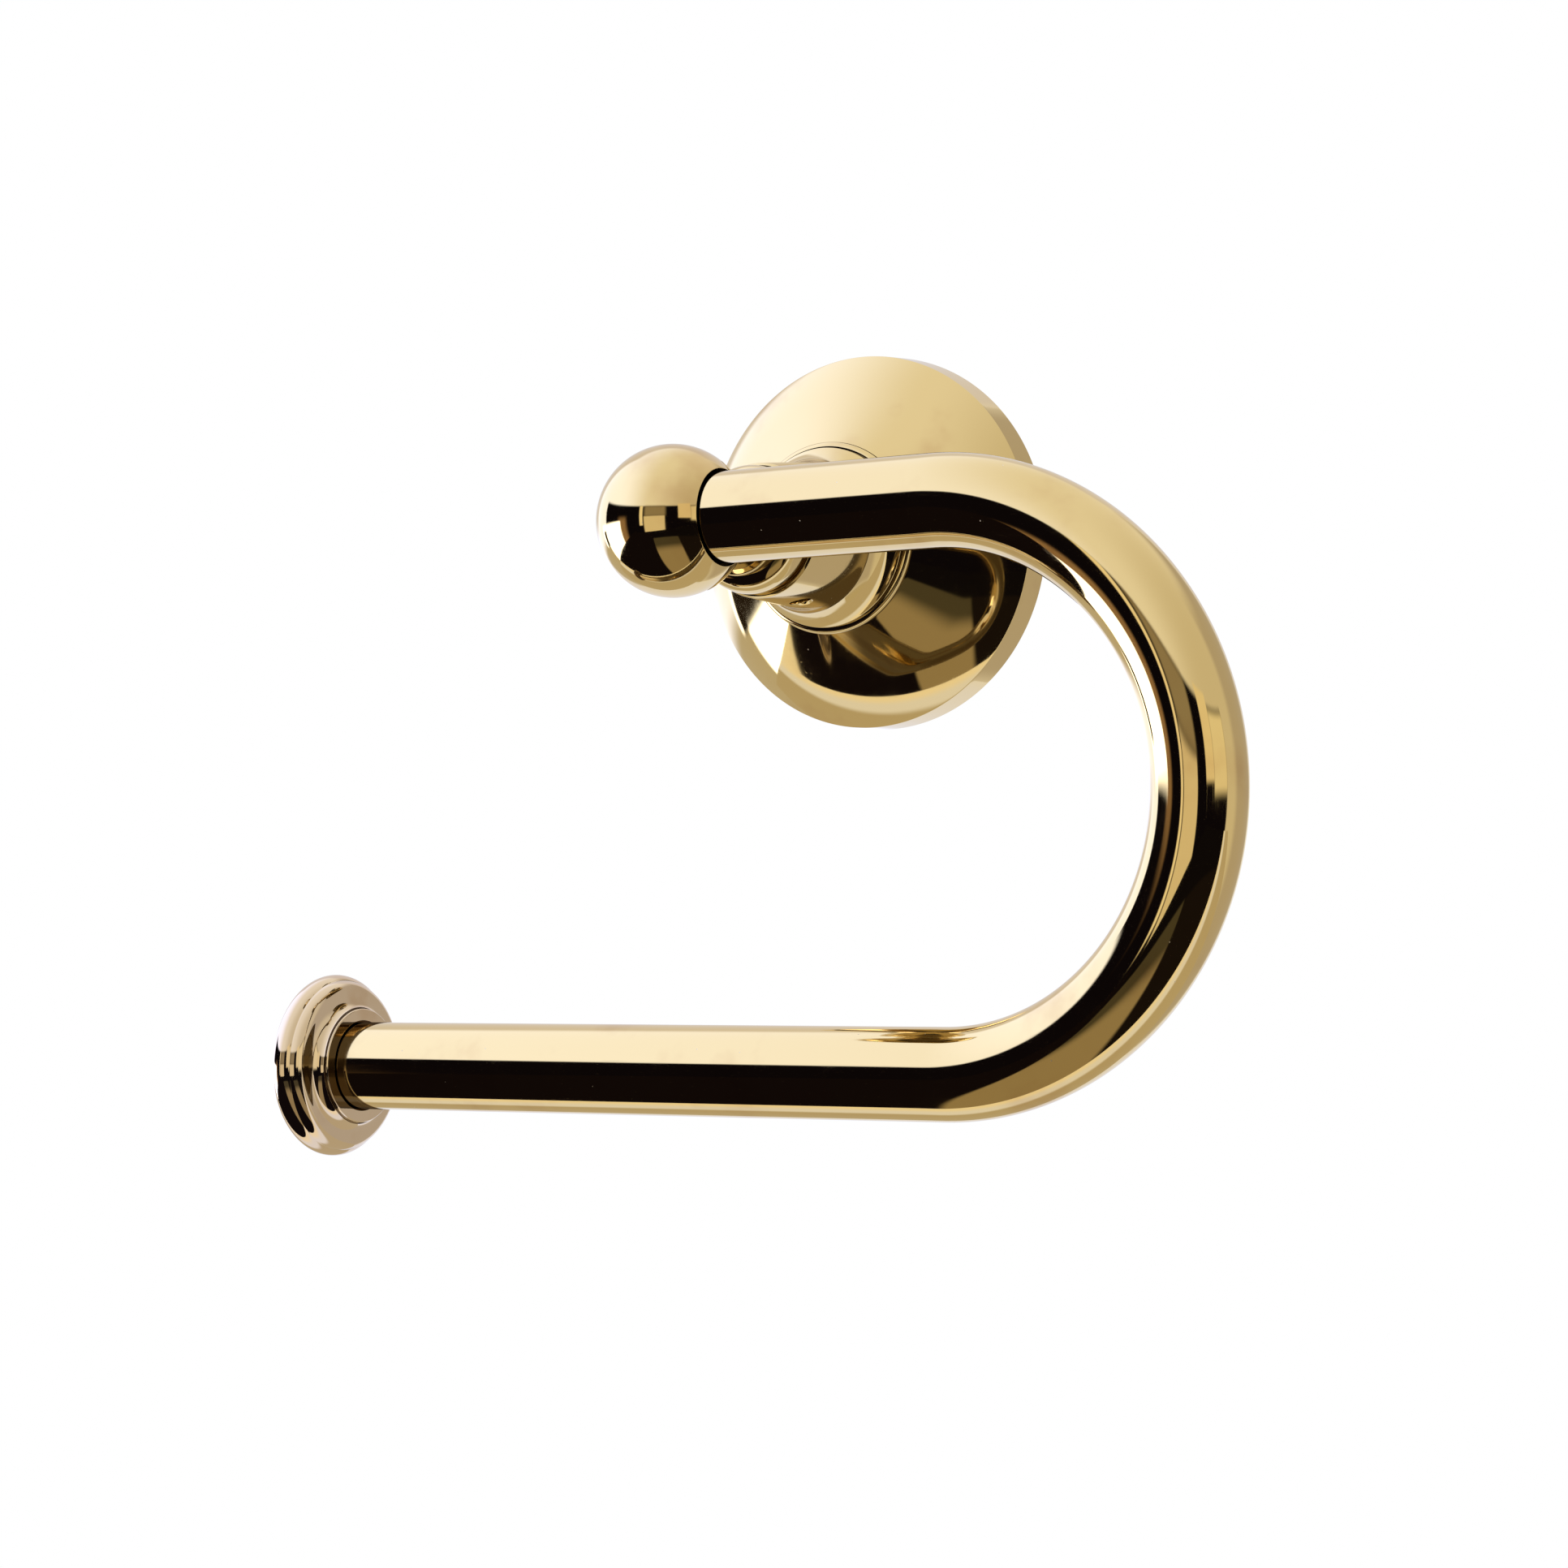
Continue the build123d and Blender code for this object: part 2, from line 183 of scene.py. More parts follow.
# ------------------------------------------------------------------ profiles
def line(*points):
    """Corner points of straight runs, as radius and distance along the axis."""
    return np.array(points, float)


def ellipse(centre, across, along, start, end, steps=48):
    """centre + (across cos a, along sin a) for a from start to end, in degrees."""
    angle = np.radians(np.linspace(start, end, steps))
    return np.column_stack((centre[0] + across * np.cos(angle), centre[1] + along * np.sin(angle)))


def bow(start, end, rise, steps=48):
    """Circle arc from start to end whose middle stands `rise` to the left of the straight way there.

    With half the chord c, the radius is R = (c^2 + rise^2) / (2 rise) and the points are
    middle + R sin(u) along the chord + (R cos(u) - R + rise) to its left, for |u| up to asin(c / R).
    """
    start, end = np.array(start, float), np.array(end, float)
    chord = end - start
    half = np.hypot(*chord) / 2
    along = chord / (2 * half)
    left = np.array((-along[1], along[0])) * np.sign(rise)
    radius = (half**2 + rise**2) / (2 * abs(rise))
    swing = np.linspace(-1, 1, steps)[:, None] * math.asin(min(1, half / radius))
    middle = (start + end) / 2
    return middle + radius * np.sin(swing) * along + (radius * np.cos(swing) - radius + abs(rise)) * left


def through(start, middle, end, steps=48):
    """Circle arc through three points: its centre is where their perpendicular bisectors meet."""
    a, b, c = (np.array(p, float) for p in (start, middle, end))
    system = 2 * np.array((b - a, c - a))
    centre = np.linalg.solve(system, (b @ b - a @ a, c @ c - a @ a))
    angles = np.unwrap([math.atan2(*(p - centre)[::-1]) for p in (a, b, c)])
    radius = np.hypot(*(a - centre))
    return ellipse(centre, radius, radius, *np.degrees(angles[[0, 2]]), steps=steps)


def soften(outline, edge, stride, turn):
    """Gives each corner of an outline a small round and spaces its points by how much it curves.

    The outline is walked in equal fine steps, and each point becomes the weighted mean of the outline
    within `edge` of it. Then points are kept so that none is `stride` or `turn` from the next. An
    outline that starts on the axis is carried on as its mirror image there; any other one is a loop.
    """
    pole = abs(outline[0, 0]) < 1e-9
    if not pole:
        outline = np.vstack((outline, outline[:1]))
    legs = np.hypot(*np.diff(outline, axis=0).T)
    outline = outline[np.append(True, legs > 1e-9)]
    way = np.append(0, np.cumsum(legs[legs > 1e-9]))
    fine = edge / 8
    count = int(way[-1] / fine)
    places = np.linspace(0, way[-1], count + 1)
    walk = np.column_stack([np.interp(places, way, outline[:, k]) for k in (0, 1)])
    reach_out = 8
    weights = np.hanning(2 * reach_out + 3)[1:-1]
    weights /= weights.sum()
    if pole:
        before, after = walk[reach_out:0:-1] * (-1, 1), walk[-2:-reach_out - 2:-1] * (-1, 1)
    else:
        walk = walk[:-1]
        before, after = walk[-reach_out:], walk[:reach_out]
    longer = np.vstack((before, walk, after))
    walk = np.column_stack([np.convolve(longer[:, k], weights, "valid") for k in (0, 1)])
    if pole:
        walk[[0, -1], 0] = 0
    else:
        walk = np.vstack((walk, walk[:1]))
    steps = np.diff(walk, axis=0)
    heading = np.unwrap(np.arctan2(steps[:, 1], steps[:, 0]))
    bend = np.append(0, np.abs(np.diff(heading)))
    cost = np.append(0, np.cumsum(bend / turn + np.hypot(*steps.T) / stride))
    wanted = np.linspace(0, cost[-1], int(cost[-1]) + 2)
    walk = np.column_stack([np.interp(wanted, cost, walk[:, k]) for k in (0, 1)])
    return walk if pole else walk[:-1]


# ------------------------------------------------------------------ axes
def straight(origin, across, up):
    """An axis from origin along across x up. Gives its point and its two cross directions at distance h."""
    origin, across, up = (np.array(v, float) for v in (origin, across, up))
    along = np.cross(across, up)

    def at(h):
        ones = np.ones((len(h), 1))
        return origin + h[:, None] * along, ones * across, ones * up

    return at


def post_axis():
    """The post's axis: from the wall along -Y."""
    return straight((0, 0, 0), (1, 0, 0), (0, 0, 1))


def arm_axis(arm):
    """The arm's centre line: along +X, half a turn down round Y, and back along -X.

    At distance h from the ball's centre the bend angle is a = (h - bend start) / R, held between 0 and
    pi, and the point is the bend's own point plus what is left of h on the straight before or after it.
    """
    radius = arm.spacing / 2

    def at(h):
        angle = np.clip((h - arm.bend_start) / radius, 0, math.pi)
        before = np.minimum(h, arm.bend_start)
        after = np.maximum(h - arm.bend_start - radius * math.pi, 0)
        x = before + radius * np.sin(angle) - after
        z = radius * (np.cos(angle) - 1)
        zero = np.zeros_like(h)
        point = np.column_stack((x, zero - arm.projection, z))
        across = np.column_stack((zero, zero + 1, zero))
        up = np.column_stack((np.sin(angle), zero, np.cos(angle)))
        return point, across, up

    return at


# ------------------------------------------------------------------ meshes
def add_mesh(name, points, faces):
    """A smooth-shaded mesh object at the origin, with its place in its points."""
    mesh = bpy.data.meshes.new(name)
    mesh.from_pydata(points, [], faces)
    mesh.polygons.foreach_set("use_smooth", np.ones(len(mesh.polygons), bool))
    mesh.update()
    piece = bpy.data.objects.new(name, mesh)
    bpy.context.scene.collection.objects.link(piece)
    return piece


def turned(name, outline, axis, columns, edge=0.15 * MM, stride=0.9 * MM, turn=2.5):
    """The surface P(i, t) = A(h_i) + r_i (cos t N(h_i) + sin t B(h_i)) of a softened outline (r_i, h_i).

    A is the axis and N and B its cross directions; t runs round in equal steps. The outline is walked
    anticlockwise, so that the faces look outwards. Where it starts on the axis its ends are poles.
    """
    r, h = outline.T
    if np.sum(r * np.roll(h, -1) - np.roll(r, -1) * h) < 0:
        outline = outline[::-1]
    r, h = soften(outline, edge, stride, math.radians(turn)).T
    t = np.linspace(0, 2 * math.pi, columns, endpoint=False)[None, :, None]
    point, across, up = (v[:, None, :] for v in axis(h))
    grid = point + r[:, None, None] * (np.cos(t) * across + np.sin(t) * up)
    rows = len(r)
    if r[0] > 0:
        number = np.arange(rows * columns).reshape(rows, columns)
        number = np.vstack((number, number[:1]))
        points, fans = grid.reshape(-1, 3), []
    else:
        body = (rows - 2) * columns
        number = np.arange(body).reshape(rows - 2, columns)
        points = np.vstack((grid[1:-1].reshape(-1, 3), grid[:1, 0], grid[-1:, 0]))
        first, last = number[0], number[-1]
        start = np.column_stack((np.full(columns, body), np.roll(first, -1), first))
        end = np.column_stack((np.full(columns, body + 1), last, np.roll(last, -1)))
        fans = start.tolist() + end.tolist()
    right = np.roll(number, -1, axis=1)
    quads = np.stack((number[:-1], right[:-1], right[1:], number[1:]), axis=-1).reshape(-1, 4)
    return add_mesh(name, points, quads.tolist() + fans)


def prism(name, radius, sides, axis, start, end):
    """A straight prism with a regular polygon of this circumscribed radius, from start to end."""
    outline = line((0, start), (radius, start), (radius, end), (0, end))
    r, h = outline.T
    t = np.linspace(0, 2 * math.pi, sides, endpoint=False)[None, :, None]
    point, across, up = (v[:, None, :] for v in axis(h))
    grid = (point + r[:, None, None] * (np.cos(t) * across + np.sin(t) * up))[1:3].reshape(-1, 3)
    number = np.arange(2 * sides).reshape(2, sides)
    right = np.roll(number, -1, axis=1)
    quads = np.stack((number[0], right[0], right[1], number[1]), axis=-1)
    ends = [number[0][::-1].tolist(), number[1].tolist()]
    return add_mesh(name, grid, quads.tolist() + ends)


def cut(piece, *cutters):
    """Takes the cutters' space out of a piece and keeps the new edges crisp."""
    for cutter in cutters:
        tool = piece.modifiers.new("cut", "BOOLEAN")
        tool.object, tool.operation, tool.solver = cutter, "DIFFERENCE", "EXACT"
    graph = bpy.context.evaluated_depsgraph_get()
    made = bpy.data.meshes.new_from_object(piece.evaluated_get(graph))
    piece.modifiers.clear()
    old, piece.data = piece.data, made
    bpy.data.meshes.remove(old)
    made.name = piece.name
    for cutter in cutters:
        shape = cutter.data
        bpy.data.objects.remove(cutter)
        bpy.data.meshes.remove(shape)
    made.set_sharp_from_angle(angle=math.radians(30))


def finish_piece(piece, node, material, bare=None, bare_where=None):
    """Puts materials on a piece, hides the frame's node that it stands for and lets it ride on the holder's
    one body.

    bare_where tells from the faces' centres and normals which of them were never polished.
    """
    piece.data.materials.append(material)
    if bare is not None:
        piece.data.materials.append(bare)
        count = len(piece.data.polygons)
        centres, normals = np.empty(count * 3), np.empty(count * 3)
        piece.data.polygons.foreach_get("center", centres)
        piece.data.polygons.foreach_get("normal", normals)
        chosen = bare_where(centres.reshape(-1, 3), normals.reshape(-1, 3))
        piece.data.polygons.foreach_set("material_index", chosen.astype(np.int32))
    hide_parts(node)
    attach(piece, BODY)


def in_bore(points, normals):
    """Faces that look towards the post's axis."""
    away = points * (1, 0, 1)
    away /= np.maximum(np.linalg.norm(away, axis=1, keepdims=True), 1e-9)
    return np.sum(away * normals, axis=1) < -0.5


# ------------------------------------------------------------------ materials
def add_node(tree, kind, inputs=None, **settings):
    """Adds a node with its settings; each input is a value or the socket that feeds it."""
    made = tree.nodes.new(kind)
    for key, value in settings.items():
        setattr(made, key, value)
    for key, value in (inputs or {}).items():
        if isinstance(value, bpy.types.NodeSocket):
            tree.links.new(value, made.inputs[key])
        else:
            made.inputs[key].default_value = value
    return made


def rgba(value):
    """A colour with full alpha."""
    return (*value, 1)


def empty_tree(owner):
    """The emptied node tree of a material or a world."""
    owner.use_nodes = True
    owner.node_tree.nodes.clear()
    return owner.node_tree


def new_material(name):
    """An empty node material, its tree, and its surface shader already wired to the output."""
    material = bpy.data.materials.new(name)
    tree = empty_tree(material)
    shader = add_node(tree, "ShaderNodeBsdfPrincipled")
    add_node(tree, "ShaderNodeOutputMaterial", {"Surface": shader.outputs[0]})
    return material, tree, shader


def metal(tree, shader, tone, rough, normal):
    """Wires a bare metal's colour, roughness and relief to its shader."""
    shader.inputs["Metallic"].default_value = 1
    for key, socket in (("Base Color", tone), ("Roughness", rough), ("Normal", normal)):
        tree.links.new(socket, shader.inputs[key])


def relief(tree, height, depth, strength, under=None):
    """Relief from a height pattern whose full height is `depth` metres, laid over another relief."""
    inputs = {"Height": height, "Distance": depth, "Strength": strength}
    if under is not None:
        inputs["Normal"] = under
    return add_node(tree, "ShaderNodeBump", inputs).outputs[0]


def object_place(tree):
    """The piece's own coordinates, which are the frame's, in metres."""
    return add_node(tree, "ShaderNodeTexCoord").outputs["Object"]


def ranged(tree, value, low, high, start=0, end=1):
    """A value between low and high stretched smoothly to start and end, and held there."""
    inputs = {"Value": value, "From Min": low, "From Max": high, "To Min": start, "To Max": end}
    return add_node(tree, "ShaderNodeMapRange", inputs, interpolation_type="SMOOTHSTEP").outputs[0]


def noise(tree, vector, size, detail=2.0, rough=0.5):
    """Noise whose features are about `size` metres across."""
    inputs = {"Vector": vector, "Scale": 1 / size, "Detail": detail, "Roughness": rough}
    return add_node(tree, "ShaderNodeTexNoise", inputs).outputs["Fac"]


def stretched(tree, vector, scale):
    """Coordinates scaled by each axis, so that a pattern runs long where the scale is small."""
    return add_node(tree, "ShaderNodeMapping", {"Vector": vector, "Scale": scale}).outputs[0]


def arithmetic(tree, operation, first, second=0.0):
    """One sum on sockets or numbers."""
    return add_node(tree, "ShaderNodeMath", {0: first, 1: second}, operation=operation).outputs[0]


def product(tree, first, second):
    """Two values multiplied."""
    return arithmetic(tree, "MULTIPLY", first, second)


def blended(tree, factor, first, second):
    """A colour mix from first to second."""
    made = add_node(tree, "ShaderNodeMix", data_type="RGBA")
    for index, value in ((0, factor), (6, first), (7, second)):
        if isinstance(value, bpy.types.NodeSocket):
            tree.links.new(value, made.inputs[index])
        else:
            made.inputs[index].default_value = value
    return made.outputs[2]


def polished_brass(name, colours, scratch_lay, attribute=None, base="brass"):
    """Cast or drawn brass, ground and buffed to a mirror and left to age a little.

    The eye gets sharp reflections that wander slightly over the buffed surface, a faint warm film in
    drifts a few centimetres wide, hairline scratches the way the cloth ran, and some dust. `base` names
    the colour property of the alloy, and `attribute` the coordinates, if not the piece's own.
    """
    material, tree, shader = new_material(name)
    if attribute:
        where = add_node(tree, "ShaderNodeAttribute", attribute_name=attribute).outputs["Vector"]
    else:
        where = object_place(tree)
    film = noise(tree, where, 22 * MM, detail=4, rough=0.62)
    film = ranged(tree, film, 0.5, 0.74, 0, 0.42)
    smudge = noise(tree, where, 7 * MM, detail=5, rough=0.6)
    hair = noise(tree, stretched(tree, where, scratch_lay), 0.25 * MM, detail=2)
    hair = ranged(tree, hair, 0.66, 0.72)
    worn = ranged(tree, noise(tree, where, 12 * MM, detail=2), 0.45, 0.7)
    hair = product(tree, hair, worn)
    specks = add_node(tree, "ShaderNodeTexVoronoi", {"Vector": where, "Scale": 1 / (3.2 * MM)})
    speck = ranged(tree, specks.outputs["Distance"], 0.025, 0.05, 1, 0)
    chance = add_node(tree, "ShaderNodeSeparateColor", {"Color": specks.outputs["Color"]}).outputs[0]
    speck = product(tree, speck, arithmetic(tree, "GREATER_THAN", chance, 0.62))
    tone = blended(tree, film, rgba(getattr(colours, base)), rgba(colours.patina))
    tone = blended(tree, product(tree, speck, 0.5), tone, (0.82, 0.8, 0.76, 1))
    rough = ranged(tree, smudge, 0.45, 0.75, 0.04, 0.08)
    rough = arithmetic(tree, "ADD", rough, product(tree, hair, 0.1))
    rough = arithmetic(tree, "MAXIMUM", rough, product(tree, speck, 0.55))
    waves = noise(tree, where, 9 * MM, detail=1)
    normal = relief(tree, hair, 0.0015 * MM, 0.6, relief(tree, waves, 0.006 * MM, 1.0))
    metal(tree, shader, tone, rough, normal)
    return material


def turned_bare_brass(name, colours, direction):
    """Free-cutting brass as it leaves the lathe: matt, with tool rings half a millimetre apart.

    The real rings are finer than that; these are as coarse as they need to be to show. At scale 1 the
    wave pattern repeats every 2 pi / 20 metres.
    """
    material, tree, shader = new_material(name)
    where = object_place(tree)
    pitch = 0.5 * MM
    rings = add_node(
        tree, "ShaderNodeTexWave",
        {"Vector": where, "Scale": 2 * math.pi / (20 * pitch), "Distortion": 0.4, "Detail": 2.0},
        wave_type="BANDS", bands_direction=direction,
    ).outputs["Fac"]
    stain = ranged(tree, noise(tree, where, 6 * MM, detail=4), 0.35, 0.75, 0, 0.6)
    tone = blended(tree, stain, rgba(colours.bare_brass), rgba(colours.patina))
    rough = ranged(tree, noise(tree, where, 2 * MM, detail=3), 0.3, 0.7, 0.26, 0.42)
    metal(tree, shader, tone, rough, relief(tree, rings, 0.008 * MM, 0.7))
    return material


def zinc_plated_steel(name, colours):
    """Pressed steel with bright passivated zinc: blue-grey, drifting to yellow, slightly grainy."""
    material, tree, shader = new_material(name)
    where = object_place(tree)
    tint = ranged(tree, noise(tree, where, 14 * MM, detail=3, rough=0.6), 0.35, 0.7)
    tone = blended(tree, tint, rgba(colours.zinc), rgba(colours.zinc_tint))
    grain = noise(tree, where, 0.6 * MM, detail=3)
    rough = ranged(tree, grain, 0.3, 0.7, 0.28, 0.4)
    metal(tree, shader, tone, rough, relief(tree, grain, 0.012 * MM, 0.5))
    return material


def screw_steel(name, colours):
    """Cold-headed stainless steel: grey, satin, with faint drawing lines and oily smears."""
    material, tree, shader = new_material(name)
    where = object_place(tree)
    smear = noise(tree, where, 3 * MM, detail=3, rough=0.6)
    tone = blended(tree, ranged(tree, smear, 0.3, 0.7, 0, 0.35), rgba(colours.steel), (0.2, 0.19, 0.18, 1))
    lines = noise(tree, where, 0.3 * MM, detail=2)
    rough = ranged(tree, lines, 0.3, 0.7, 0.22, 0.36)
    metal(tree, shader, tone, rough, relief(tree, lines, 0.006 * MM, 0.5))
    return material


def kept_material(name, maker, *arguments):
    """A material by its name, made by `maker` the first time."""
    return bpy.data.materials.get(name) or maker(name, *arguments)


def post_finish(colours):
    """Buffed brass of the turned pieces."""
    return kept_material("polished_cast_brass", polished_brass, colours, (0.35, 1.0, 0.35))


def bare_finish(colours):
    """Turned brass with its rings across the post's axis."""
    return kept_material("turned_brass_bare", turned_bare_brass, colours, "Y")


def post_finishes(colours):
    """Polished brass of the post's turned parts and the bare brass of their bores."""
    return post_finish(colours), bare_finish(colours)


def stop_finish(colours):
    """Paler buffed brass whose hairlines run round the arm's axis."""
    lay = (1.0, 0.35, 0.35)
    return kept_material("polished_stop_brass", polished_brass, colours, lay, None, "stop_brass")


def tube_finish(colours):
    """Buffed drawn brass whose hairlines run along the bent tube."""
    return kept_material("polished_drawn_brass", polished_brass, colours, (1.0, 1.0, 0.02), "lay")


def bore_finish(colours):
    """Drawn or turned brass with its rings across the arm's axis."""
    return kept_material("drawn_brass_bore", turned_bare_brass, colours, "X")


def screw_finish(colours):
    """Stainless steel of every screw and of the stud."""
    return kept_material("stainless_screw", screw_steel, colours)


# ------------------------------------------------------------------ pieces
def rose_outline(rose):
    """Shell of a bell shape: flat land, hollow slope, shoulder, rolled edge, crease and side wall.

    Both arcs leave the shoulder at its slope, so each rises tan(turn / 2) over half its chord, where turn
    is the angle from its chord to that slope. The inside is the same line, one wall further in.
    """
    land, crease = np.array((rose.land, rose.height)), np.array((rose.radius - rose.draft, rose.side))
    shoulder = np.array((rose.shoulder, rose.shoulder_height))

    def fall(start, end):
        return math.atan2(start[1] - end[1], end[0] - start[0])

    def inward(point, slope):
        return point - rose.wall * np.array((math.sin(slope), math.cos(slope)))

    def rise(start, end, slope):
        return math.dist(start, end) / 2 * math.tan((fall(start, end) - slope) / 2)

    edge_slope = 2 * fall(shoulder, crease) - rose.slope
    land_slope = 2 * fall(land, shoulder) - rose.slope
    inner_shoulder, inner_crease = inward(shoulder, rose.slope), inward(crease, edge_slope)
    ceiling = rose.height - rose.wall
    inner_land = inward(land, land_slope)
    inner_land += (inner_land[1] - ceiling) * np.array((1 / math.tan(land_slope), -1))
    return np.vstack((
        line((rose.bore, rose.height)),
        bow(land, shoulder, -rise(land, shoulder, rose.slope)),
        bow(shoulder, crease, rise(shoulder, crease, rose.slope)),
        line((rose.radius, 0), (rose.radius - rose.wall, 0)),
        bow(inner_crease, inner_shoulder, -rise(inner_shoulder, inner_crease, rose.slope)),
        bow(inner_shoulder, inner_land, rise(inner_land, inner_shoulder, rose.slope)),
        line((rose.bore, ceiling)),
    ))


def ring_outline(rose, post):
    """Flat ring with a half-round bead as its edge."""
    bead = (post.ring_top - rose.height) / 2
    return np.vstack((
        line((rose.bore, rose.height)),
        ellipse((post.ring - bead, rose.height + bead), bead, bead, -90, 90),
        line((rose.bore, post.ring_top)),
    ))


def collar_outline(post):
    """Bell: short land, hollow flare that runs into a long cone, and the bored inside."""
    foot = np.array((post.collar, post.ring_top + post.collar_land))
    cone = np.array((post.flare, post.ring_top + post.flare_height))
    bevel = 0.4 * MM
    head = np.array((post.collar_top, post.collar_end - bevel))
    chord = cone - foot
    lean = math.atan2(chord[1], chord[0]) - math.atan2(*(head - cone)[::-1])
    floor = post.collar_end - post.collar_floor
    bore, tail_end = 8.1 * MM, 11 * MM
    hole, head_r = 3.2 * MM, 6 * MM
    return np.vstack((
        line((post.tail, post.ring_top), (post.collar, post.ring_top)),
        bow(foot, cone, np.hypot(*chord) / 2 * math.tan(lean / 2)),
        line(head, (post.collar_top - bevel, post.collar_end), (hole, post.collar_end)),
        line((hole, floor + head_r - hole), (head_r, floor), (bore, floor)),
        line((bore, tail_end), (post.tail, tail_end)),
    ))


def neck_outline(post, seat_height):
    """Groove, ring, quarter-ellipse dome, small bead, and a waist that opens on to the ball."""
    bevel = 0.4 * MM
    groove_end = post.collar_end + post.groove_height
    rim = groove_end + post.neck_ring
    bead_foot = rim + post.neck_dome
    bead_end = bead_foot + post.bead_height
    hole = 3.2 * MM
    waist = np.array((post.waist + bevel, bead_end))
    seat = np.array((post.seat, seat_height))
    low = np.array((post.waist, (bead_end + seat_height) / 2))
    side = seat - waist
    sag = (side[0] * (low - waist)[1] - side[1] * (low - waist)[0]) / np.hypot(*side)
    return np.vstack((
        line((hole, post.collar_end), (post.groove, post.collar_end), (post.groove, groove_end)),
        line((post.neck - bevel, groove_end), (post.neck, groove_end + bevel)),
        ellipse((post.bead, rim - bevel), post.neck - post.bead, post.neck_dome + bevel, 0, 90),
        bow((post.bead, bead_foot), (post.bead, bead_end), -post.bead_height / 4),
        bow(waist, seat, sag),
        line((hole, seat_height)),
    ))


def ball_outline(arm):
    """Circle about the arm's axis, opened by the pocket that the tube sits in."""
    mouth = math.degrees(math.acos(arm.pocket / arm.ball))
    return np.vstack((
        ellipse((0, 0), arm.ball, arm.ball, -90, mouth, steps=200),
        line((arm.pocket, ARM_START), (0, ARM_START)),
    ))


def stop_outline(stop, arm):
    """Thread hole, tube bore, flat ring, hollow moulding, bead, crease, outer bead and domed end.

    The bead starts square to the axis, so it rises tan(lean / 2) over half its chord, where lean is its
    chord's angle to that direction. The domed end is a circle about a point of the axis.
    """
    land, cove_end, crease_at, widest_at, edge_at = 0.6 * MM, 2.6 * MM, 4.5 * MM, 6.4 * MM, 8.2 * MM
    edge, bevel, gap, thread, depth = 16 * MM, 0.2 * MM, 0.3 * MM, 3.05 * MM, 5.4 * MM
    rise = stop.length - edge_at
    dome = (edge**2 + rise**2) / (2 * rise)
    half = math.hypot(edge, rise) / 2
    inner, crease = (stop.cove, cove_end), (stop.crease, crease_at)
    lean = math.atan2(crease_at - cove_end, stop.crease - stop.cove)
    return np.vstack((
        line((0, stop.bore + depth), (thread, stop.bore + depth), (thread, stop.bore)),
        line((arm.tube + gap, stop.bore), (arm.tube + gap, 0), (stop.face - bevel, 0), (stop.face, bevel)),
        ellipse((stop.cove, land), stop.face - stop.cove, cove_end - land, 0, 90),
        bow(inner, crease, -math.dist(inner, crease) / 2 * math.tan(lean / 2)),
        through(crease, (stop.rim, widest_at), (edge, edge_at)),
        bow((edge, edge_at), (0, stop.length), math.sqrt(dome**2 - half**2) - dome),
    ))


def seat_height(settings):
    """Distance from the wall at which the neck's rim meets the ball."""
    return settings.arm.projection - math.sqrt(settings.arm.ball**2 - settings.post.seat**2)


def tie_tool(settings):
    """Cutter for the tie screw's hole, from before the ball's seat to the arm's axis."""
    arm = settings.arm
    return prism("hole", arm.tie, 64, post_axis(), seat_height(settings) - 1 * MM, arm.projection)


def make_screw(name, node, outline, axis, socket, edge, stride, colours):
    """A steel screw turned from its outline, with a hexagon socket of 2 mm across flats."""
    screw = turned(name, outline, axis, 64, edge=edge, stride=stride, turn=8)
    cut(screw, prism("socket", 1 * MM / math.cos(math.pi / 6), 6, axis, *socket))
    finish_piece(screw, node, screw_finish(colours))


def sink_tool(x, z, hole, head, face, side):
    """Cutter for a countersunk hole: side 1 sinks the face away from the wall, -1 the one at the wall."""
    slope = math.tan(math.radians(41))
    past = 1 * MM
    depth = (head - hole) / slope
    outline = line(
        (0, face - side * 8 * MM), (hole, face - side * 8 * MM), (hole, face - side * depth),
        (head + past * slope, face + side * past), (0, face + side * past),
    )
    axis = straight((x, 0, z), (1, 0, 0), (0, 0, 1))
    return turned("sink", outline, axis, 64, edge=0.02 * MM, stride=4 * MM, turn=20)


class HOLDER_OT_rose(bpy.types.Operator):
    """Make the bell-shaped shell of the rose and the bead ring on it"""
    bl_idname = "holder.rose"
    bl_label = "Rose and Ring"

    def execute(self, context):
        settings = context.scene.paper_holder
        polish, bare = post_finishes(settings.finish)
        shell = turned("rose_shell", rose_outline(settings.rose), post_axis(), 288)

        def inside(points, normals):
            return in_bore(points, normals) | (normals[:, 1] > 0.3) & (points[:, 1] < -0.5 * MM)

        finish_piece(shell, "rose", polish, bare, inside)
        bead = ring_outline(settings.rose, settings.post)
        ring = turned("bead_ring", bead, post_axis(), 224, edge=0.06 * MM, turn=5)
        finish_piece(ring, "base_ring", polish, bare, in_bore)
        return {"FINISHED"}


